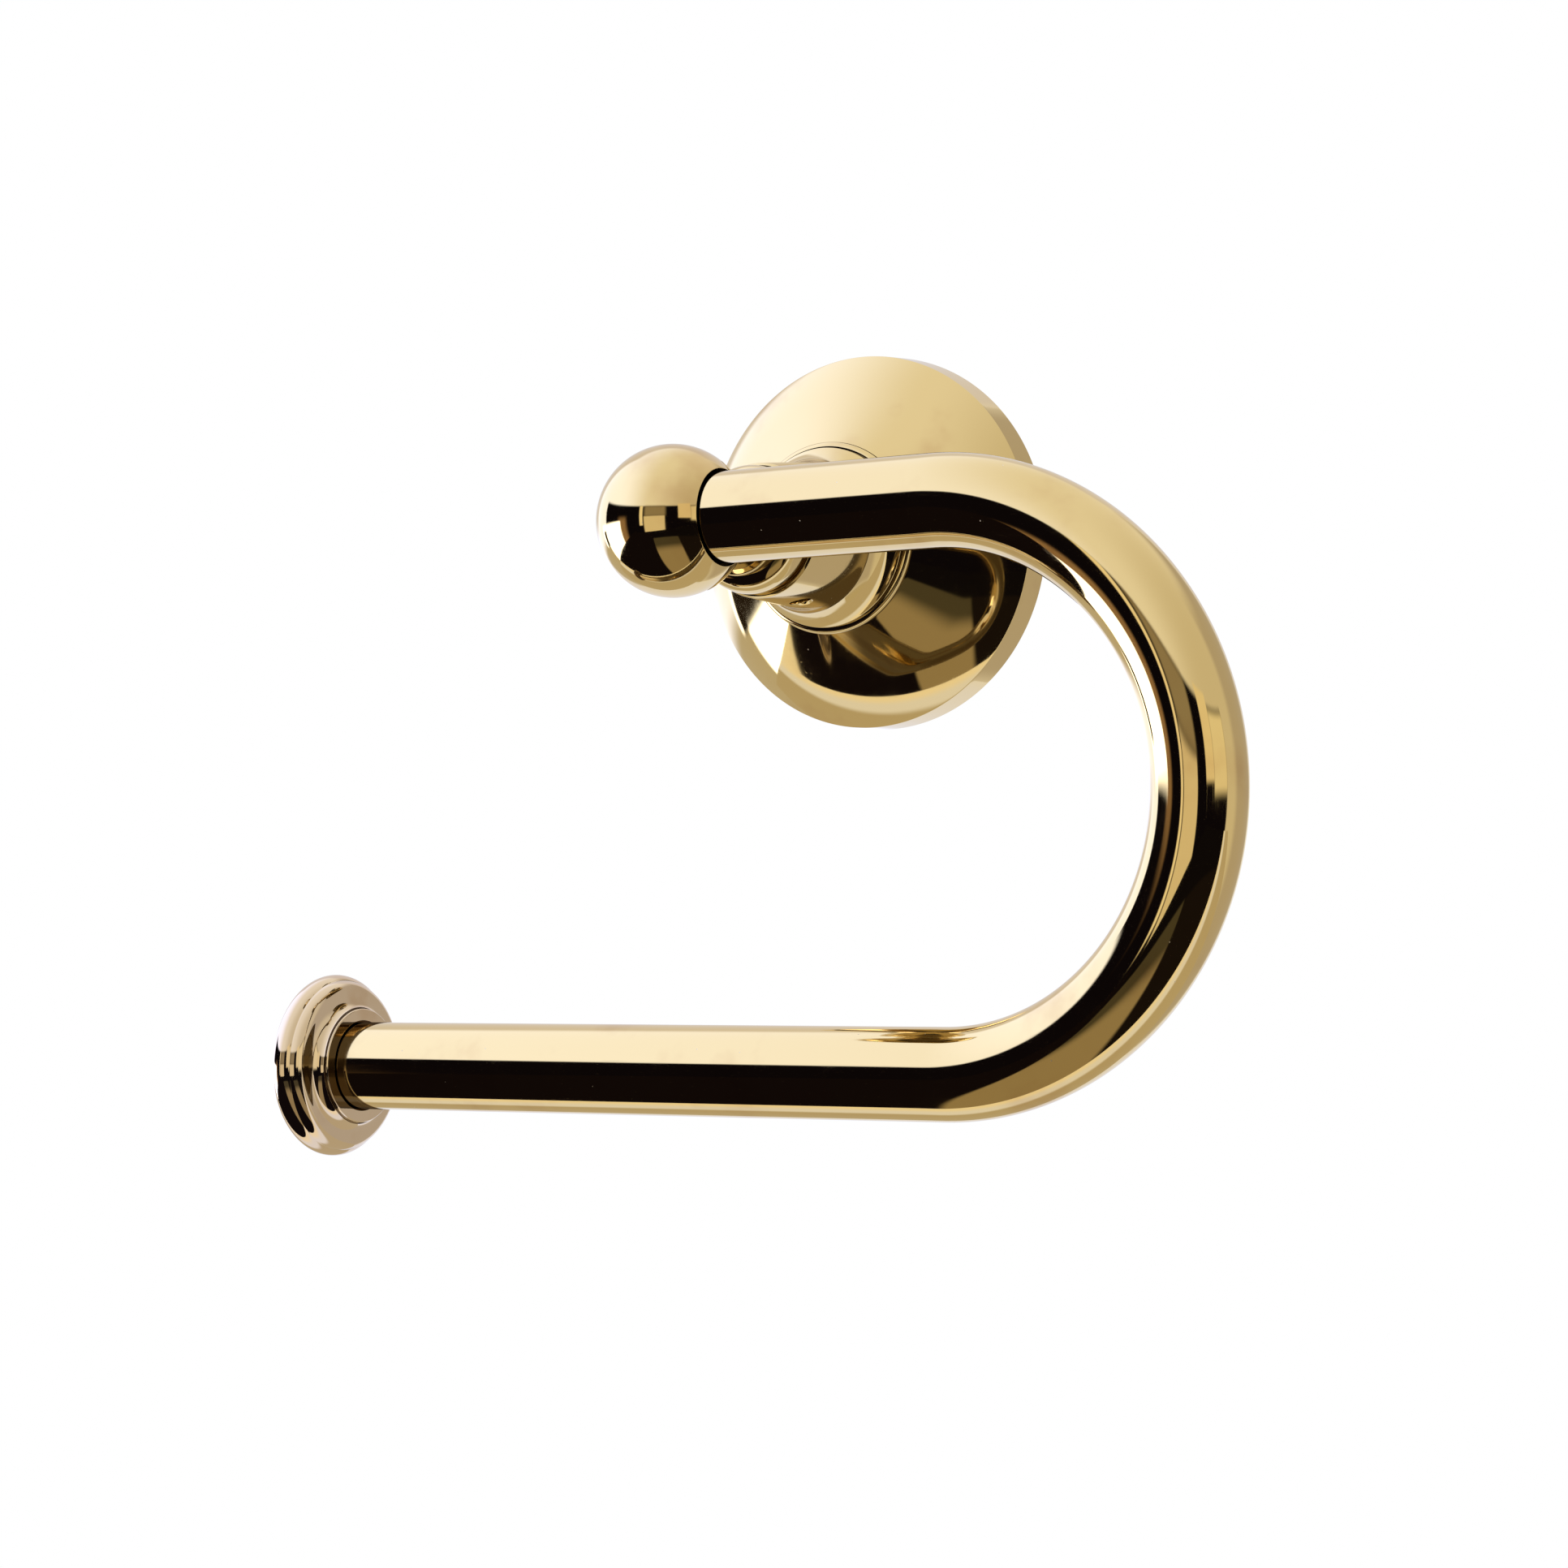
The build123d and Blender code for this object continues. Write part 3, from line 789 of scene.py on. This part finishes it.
class HOLDER_OT_collar(bpy.types.Operator):
    """Make the bell collar with its set screw hole, and the set screw"""
    bl_idname = "holder.collar"
    bl_label = "Bell Collar and Set Screw"

    def execute(self, context):
        settings = context.scene.paper_holder
        post = settings.post
        polish, bare = post_finishes(settings.finish)
        collar = turned("bell", collar_outline(post), post_axis(), 256, stride=0.7 * MM)
        lean = math.radians(12)
        axis = straight((0, -post.grub_place, 0), (0, 1, 0), (math.cos(lean), 0, math.sin(lean)))
        hole, mouth = post.grub + 0.05 * MM, 12.85 * MM
        tip, past = 6 * MM, 3 * MM
        drill = line((0, tip), (hole, tip), (hole, mouth), (hole + past, mouth + past), (0, mouth + past))
        cut(collar, turned("drill", drill, axis, 72, edge=0.05 * MM, stride=1 * MM, turn=12))
        finish_piece(collar, "bell_collar", polish, bare, in_bore)
        start, end, bevel = 7.05 * MM, 11.65 * MM, 0.4 * MM
        outline = line(
            (0, start), (post.grub - bevel, start), (post.grub, start + bevel), (post.grub, end - bevel),
            (post.grub - bevel, end), (0, end),
        )
        socket = (end - 2 * MM, end + 1 * MM)
        make_screw("set_screw", "grub_screw", outline, axis, socket, 0.06 * MM, 0.5 * MM, settings.finish)
        return {"FINISHED"}


class HOLDER_OT_neck(bpy.types.Operator):
    """Make the turned neck between the collar and the ball"""
    bl_idname = "holder.neck"
    bl_label = "Neck"

    def execute(self, context):
        settings = context.scene.paper_holder
        outline = neck_outline(settings.post, seat_height(settings))
        neck = turned("neck_turning", outline, post_axis(), 224, edge=0.1 * MM, stride=0.5 * MM)
        polish, bare = post_finishes(settings.finish)
        finish_piece(neck, "neck", polish, bare, in_bore)
        return {"FINISHED"}


class HOLDER_OT_ball(bpy.types.Operator):
    """Make the ball with the pocket for the arm and the seat for the neck"""
    bl_idname = "holder.ball"
    bl_label = "Ball"

    def execute(self, context):
        settings = context.scene.paper_holder
        arm = settings.arm
        axis = straight((0, -arm.projection, 0), (0, 1, 0), (0, 0, 1))
        ball = turned("ball_end", ball_outline(arm), axis, 256, edge=0.25 * MM, stride=0.6 * MM, turn=1.5)
        seat = seat_height(settings)
        cut(ball, prism("flat", arm.ball, 64, post_axis(), seat - 5 * MM, seat), tie_tool(settings))
        finish_piece(ball, "ball", post_finish(settings.finish))
        return {"FINISHED"}


def arm_lay(arm, points):
    """Where each point lies on the arm if it were straightened: two cross distances and the way along it."""
    radius = arm.spacing / 2
    x, y, z = points.T
    lower = z < -radius
    turned_by = np.arctan2(np.maximum(x - arm.bend_start, 0), z + radius)
    in_bend = x > arm.bend_start
    along = np.where(lower, 2 * arm.bend_start + radius * math.pi - x, x)
    along = np.where(in_bend, arm.bend_start + radius * turned_by, along)
    up = np.where(lower, -(z + arm.spacing), z)
    up = np.where(in_bend, np.hypot(x - arm.bend_start, z + radius) - radius, up)
    return np.column_stack((y + arm.projection, up, along))


class HOLDER_OT_arm(bpy.types.Operator):
    """Make the bent arm tube"""
    bl_idname = "holder.arm"
    bl_label = "Arm Tube"

    def execute(self, context):
        settings = context.scene.paper_holder
        arm = settings.arm
        full = 2 * arm.bend_start + arm.spacing / 2 * math.pi - ARM_END
        inner = arm.tube - arm.wall
        outline = line((inner, ARM_START), (arm.tube, ARM_START), (arm.tube, full), (inner, full))
        tube = turned("bent_tube", outline, arm_axis(arm), 144, edge=0.12 * MM, stride=1.35 * MM, turn=9)
        cut(tube, tie_tool(settings))
        points = np.empty(len(tube.data.vertices) * 3)
        tube.data.vertices.foreach_get("co", points)
        lay = arm_lay(arm, points.reshape(-1, 3))
        tube.data.attributes.new("lay", "FLOAT_VECTOR", "POINT").data.foreach_set("vector", lay.ravel())

        def inside(points, normals):
            spot = arm_lay(arm, points)
            return np.hypot(spot[:, 0], spot[:, 1]) < (arm.tube + inner) / 2

        polish, bare = tube_finish(settings.finish), bore_finish(settings.finish)
        finish_piece(tube, "arm_tube", polish, bare, inside)
        return {"FINISHED"}


class HOLDER_OT_stop(bpy.types.Operator):
    """Make the moulded end stop"""
    bl_idname = "holder.stop"
    bl_label = "End Stop"

    def execute(self, context):
        settings = context.scene.paper_holder
        arm = settings.arm
        axis = straight((STOP_FACE, -arm.projection, -arm.spacing), (0, 1, 0), (0, 0, -1))
        outline = stop_outline(settings.stop, arm)
        stop = turned("moulded_stop", outline, axis, 256, edge=0.12 * MM, stride=0.5 * MM)
        finish_piece(stop, "end_stop", stop_finish(settings.finish))
        return {"FINISHED"}


class HOLDER_OT_bracket(bpy.types.Operator):
    """Make the zinc-plated wall plate and the two screws that hold the spigot on it"""
    bl_idname = "holder.bracket"
    bl_label = "Wall Plate and Spigot Screws"

    def execute(self, context):
        colours = context.scene.paper_holder.finish
        low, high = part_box("wall_plate")
        thick, ring, pitch = -low[1], 18.5 * MM, 4.5 * MM
        outline = line((0, 0), (high[0], 0), (high[0], thick), (0, thick))
        plate = turned("bracket_plate", outline, post_axis(), 192, edge=0.3 * MM, stride=1.5 * MM, turn=8)
        angles = np.radians((90, 210, 330))
        tools = [
            sink_tool(ring * math.cos(a), ring * math.sin(a), 2.6 * MM, 4.6 * MM, thick, 1) for a in angles
        ]
        tools += [sink_tool(x, 0, 2.1 * MM, 4.2 * MM, 0, -1) for x in (-pitch, pitch)]
        cut(plate, *tools)
        zinc = kept_material("bright_zinc_plate", zinc_plated_steel, colours)
        finish_piece(plate, "wall_plate", zinc)
        head, shank, top, end, bevel = 3.9 * MM, 2 * MM, 0.2 * MM, 14.1 * MM, 0.4 * MM
        socket = (top - 1 * MM, top + head - shank)
        outline = line(
            (0, top), (head, top), (shank, socket[1]), (shank, end - bevel), (shank - bevel, end), (0, end)
        )
        for side, x in (("left", -pitch), ("right", pitch)):
            name, axis = "spigot_screw_" + side, straight((x, 0, 0), (1, 0, 0), (0, 0, 1))
            make_screw(name, "spigot_screws", outline, axis, socket, 0.08 * MM, 0.8 * MM, colours)
        return {"FINISHED"}


class HOLDER_OT_fittings(bpy.types.Operator):
    """Give the hidden spigot, nut, inserts and screws their own finish"""
    bl_idname = "holder.fittings"
    bl_label = "Hidden Fittings"

    def execute(self, context):
        colours = context.scene.paper_holder.finish
        across = bare_finish(colours)
        along, steel = bore_finish(colours), screw_finish(colours)
        finishes = {
            "spigot": across, "rose_nut": across, "arm_insert": along,
            "stop_insert": along, "tie_screw": steel, "stop_stud": steel,
        }
        for node, material in finishes.items():
            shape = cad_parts[node]
            if not shape.material_slots:
                raise RuntimeError(f"{node} has no material slot")
            for place in shape.material_slots:
                place.material = material
        return {"FINISHED"}


# ------------------------------------------------------------------ stage
def soft_card(tree, place, under, light, azimuth, elevation, blur):
    """Lays a soft-edged rectangle of light over what is under it; angles and blur are in degrees."""
    cover = None
    for angle, (low, high) in zip(place, (azimuth, elevation)):
        rise = ranged(tree, angle, low - blur, low + blur)
        fall = ranged(tree, angle, high - blur, high + blur, 1, 0)
        both = product(tree, rise, fall)
        cover = both if cover is None else product(tree, cover, both)
    return blended(tree, cover, under, rgba(light))


def studio_world():
    """A white studio. Directly seen and on matt things it is plain white.

    The mirror-bright brass reflects what stands round the holder: white paper, darker to the right; pale
    and shaded walls behind; a table below; a big window at the left; the dark end of the room in front,
    and in it a wooden door and a lit doorway. In brass seen in brass all this gets a painted shade, darker
    most upwards and towards the wall, least at the window's side. Azimuth is 0 towards -Y and grows towards
    +X.
    """
    world = bpy.data.worlds.new("studio")
    bpy.context.scene.world = world
    tree = empty_tree(world)
    direction = add_node(tree, "ShaderNodeTexCoord").outputs["Generated"]
    x, y, z = add_node(tree, "ShaderNodeSeparateXYZ", {"Vector": direction}).outputs
    azimuth = arithmetic(tree, "ARCTAN2", x, product(tree, y, -1.0))
    place = [arithmetic(tree, "DEGREES", angle) for angle in (azimuth, arithmetic(tree, "ARCSINE", z))]
    light = blended(tree, ranged(tree, x, 0.0, 0.9), (0.9, 0.9, 0.86, 1), (0.68, 0.64, 0.52, 1))
    light = blended(tree, ranged(tree, x, 0.0, -0.85), light, (1.25, 1.4, 1.95, 1))
    ground = blended(tree, ranged(tree, y, -0.27, -0.2), (0.97, 0.9, 0.7, 1), (0.53, 0.47, 0.32, 1))
    light = blended(tree, ranged(tree, place[1], -52, -48, 1, 0), light, ground)
    for card in STUDIO_CARDS:
        light = soft_card(tree, place, light, *card)
    path = add_node(tree, "ShaderNodeLightPath").outputs
    # painted shade: light met after the first reflection is darkened towards near black, most upwards and
    # towards the wall
    shade_up, shade_back = ranged(tree, z, -0.3, 0.1, 0.3, 0.9), ranged(tree, y, 0.1, 0.4, 0.3, 0.9)
    shade = arithmetic(tree, "MAXIMUM", shade_up, shade_back)
    shade = product(tree, shade, ranged(tree, x, -0.5, -0.3, 0.35, 1))
    inner = blended(tree, shade, light, (0.02, 0.015, 0.01, 1))
    light = blended(tree, ranged(tree, path["Glossy Depth"], 1.2, 1.8), light, inner)
    light = blended(tree, path["Is Glossy Ray"], (1, 1, 1, 1), light)
    glow = add_node(tree, "ShaderNodeBackground", {"Color": light, "Strength": 1.0})
    add_node(tree, "ShaderNodeOutputWorld", {"Surface": glow.outputs[0]})
    world.cycles.sampling_method = "NONE"


# each card: light, azimuth from and to, elevation from and to, blur of its edges; later ones lie on top
STUDIO_CARDS = (
    ((0.97, 0.9, 0.72), (-86, 92), (-52, -26), 1.5),          # pale table under the dark cloth
    ((0.86, 0.9, 1.05), (-180, -124), (-62, -8), 5.0),        # pale wall behind, left
    ((0.56, 0.52, 0.42), (-124, -82), (-60, -9), 4.0),        # edge of the table in shade
    ((0.5, 0.46, 0.4), (118, 180), (-50, 40), 8.0),           # shaded wall behind, right
    ((0.76, 0.75, 0.8), (-180, -116), (2, 46), 4.0),          # shaded wall behind, left
    ((0.004, 0.003, 0.005), (-86, 92), (-29, 18), 1.5),       # dark end of the room
    ((0.85, 0.78, 0.55), (60, 92), (-3, 17), 2.0),            # paper edge, right
    ((0.85, 0.75, 0.5), (41, 60), (0, 21), 1.0),              # lit doorway
    ((0.3, 0.25, 0.16), (-10, 22), (4, 18), 3.0),             # dim wall above the door
    ((0.75, 0.66, 0.46), (-11, 21), (-40, 4), 1.2),           # wooden door
    ((0.95, 0.85, 0.6), (-18, -13), (-8, 18), 1.0),           # bright frame beside the door
    ((0.3, 0.19, 0.1), (-56, -42), (-30, 4), 4.0),            # curtain beside the window
    ((2.8, 3.0, 3.6), (-98, -53), (-13, 1), 1.5),             # window
    ((2.8, 3.0, 3.6), (-90, -53), (-29, -12), 1.5),           # its lower part
    ((0.02, 0.014, 0.01), (-95, -89), (-14, -3), 1.0),        # dark post of the window
)


def cloth_material():
    """Light of the ground under the holder, which shows only in the brass.

    In front lies a black cloth. On it, between x = 0 and the slanting line x + 0.55 y = 5 cm, a brown
    sheet turns dark olive about 30 cm from the z axis and ends at 45 cm. Behind the cloth's edge, 8.5 cm
    from the wall, the table shows: cream, then pale grey, then shaded. Brass seen in brass shows this ground
    mostly painted over with painted shade and light: khaki left of x = -10 cm, nearly black right of x = -5
    cm.
    """
    material = bpy.data.materials.new("dark_cloth")
    tree = empty_tree(material)
    x, y = add_node(tree, "ShaderNodeSeparateXYZ", {"Vector": object_place(tree)}).outputs[:2]
    far = arithmetic(tree, "ADD", product(tree, x, x), product(tree, y, y))
    far = arithmetic(tree, "SQRT", far)
    slant = arithmetic(tree, "ADD", x, product(tree, y, 0.55))
    sheet = blended(tree, ranged(tree, far, 0.24, 0.34), (0.32, 0.255, 0.145, 1), (0.07, 0.06, 0.035, 1))
    sheet = blended(tree, ranged(tree, slant, 0.045, 0.06), sheet, (0.01, 0.007, 0.006, 1))
    sheet = blended(tree, ranged(tree, far, 0.44, 0.47), sheet, (0.005, 0.004, 0.005, 1))
    front = blended(tree, ranged(tree, x, 0.0, 0.008), (0.006, 0.004, 0.005, 1), sheet)
    table = blended(tree, ranged(tree, y, -0.08, -0.06), (0.97, 0.9, 0.72, 1), (0.85, 0.88, 0.98, 1))
    table = blended(tree, ranged(tree, y, -0.05, -0.035), table, (0.53, 0.47, 0.34, 1))
    tone = blended(tree, ranged(tree, y, -0.086, -0.084), front, table)
    # painted shade and light: in brass seen in brass the ground is mostly painted over, khaki at the left,
    # nearly black at the right
    depth = add_node(tree, "ShaderNodeLightPath").outputs["Glossy Depth"]
    second = blended(tree, ranged(tree, x, -0.1, -0.05), (0.45, 0.4, 0.27, 1), (0.02, 0.014, 0.01, 1))
    tone = blended(tree, ranged(tree, depth, 1.2, 1.8, 0, 0.85), tone, second)
    glow = add_node(tree, "ShaderNodeEmission", {"Color": tone})
    add_node(tree, "ShaderNodeOutputMaterial", {"Surface": glow.outputs[0]})
    material.cycles.emission_sampling = "NONE"
    return material


class HOLDER_OT_stage(bpy.types.Operator):
    """Make the floor, the dark cloth, the studio light and the camera"""
    bl_idname = "holder.stage"
    bl_label = "Stage"

    def execute(self, context):
        colours = context.scene.paper_holder.finish
        drop, radius, thick = -0.62, 1.9, 0.02
        floor = prism("floor", radius, 160, straight((0, 0, drop), (1, 0, 0), (0, 1, 0)), 0, thick)
        material, tree, shader = new_material("matt_floor_paint")
        shader.inputs["Base Color"].default_value = rgba(colours.floor)
        shader.inputs["Roughness"].default_value = 0.9
        floor.data.materials.append(material)
        floor.visible_glossy = False
        left, right, front, back, low = -0.36, 0.75, -0.7, 0.05, -0.2
        corners = [(left, front, low), (right, front, low), (right, back, low), (left, back, low)]
        cloth = add_mesh("dark_cloth", corners, [(0, 1, 2, 3)])
        cloth.data.materials.append(cloth_material())
        cloth.visible_camera = cloth.visible_diffuse = cloth.visible_shadow = False
        studio_world()
        context.scene.view_settings.view_transform = "Standard"
        camera = bpy.data.cameras.new("camera")
        camera.lens, camera.sensor_width = 84.334, 36
        camera.clip_start, camera.clip_end = 0.02, 20
        eye = bpy.data.objects.new("camera", camera)
        context.scene.collection.objects.link(eye)
        right_way, up_way = (0.84878, 0.5282, -0.0239), (0.02804, 0.00018, 0.99961)
        back_way = (0.528, -0.84912, -0.01466)
        turn = Matrix((right_way, up_way, back_way)).transposed()
        eye.matrix_world = Matrix.Translation((0.35433, -0.60724, -0.05582)) @ turn.to_4x4()
        context.scene.camera = eye
        return {"FINISHED"}


class HOLDER_PT_panel(bpy.types.Panel):
    """Lists the makers of the holder's pieces"""
    bl_idname = "HOLDER_PT_panel"
    bl_label = "Paper Holder"
    bl_space_type = "VIEW_3D"
    bl_region_type = "UI"
    bl_category = "Paper Holder"

    def draw(self, context):
        settings = context.scene.paper_holder
        for group in ("rose", "post", "arm", "stop", "finish"):
            box = self.layout.box()
            box.label(text=group.capitalize())
            part = getattr(settings, group)
            for name in part.__annotations__:
                box.prop(part, name)
        for maker in MAKERS:
            self.layout.operator(maker.bl_idname)


GROUPS = (RoseSizes, PostSizes, ArmSizes, StopSizes, FinishColours, HolderSettings)
MAKERS = (
    HOLDER_OT_stage, HOLDER_OT_rose, HOLDER_OT_collar, HOLDER_OT_neck, HOLDER_OT_ball,
    HOLDER_OT_arm, HOLDER_OT_stop, HOLDER_OT_bracket, HOLDER_OT_fittings,
)


def register():
    for part in (*GROUPS, *MAKERS, HOLDER_PT_panel):
        bpy.utils.register_class(part)
    bpy.types.Scene.paper_holder = PointerProperty(type=HolderSettings)


def unregister():
    del bpy.types.Scene.paper_holder
    for part in reversed((*GROUPS, *MAKERS, HOLDER_PT_panel)):
        bpy.utils.unregister_class(part)


def main():
    """Makes everything."""
    register()
    for maker in MAKERS:
        getattr(bpy.ops.holder, maker.bl_idname.split(".")[1])()


if __name__ == "__main__":
    main()
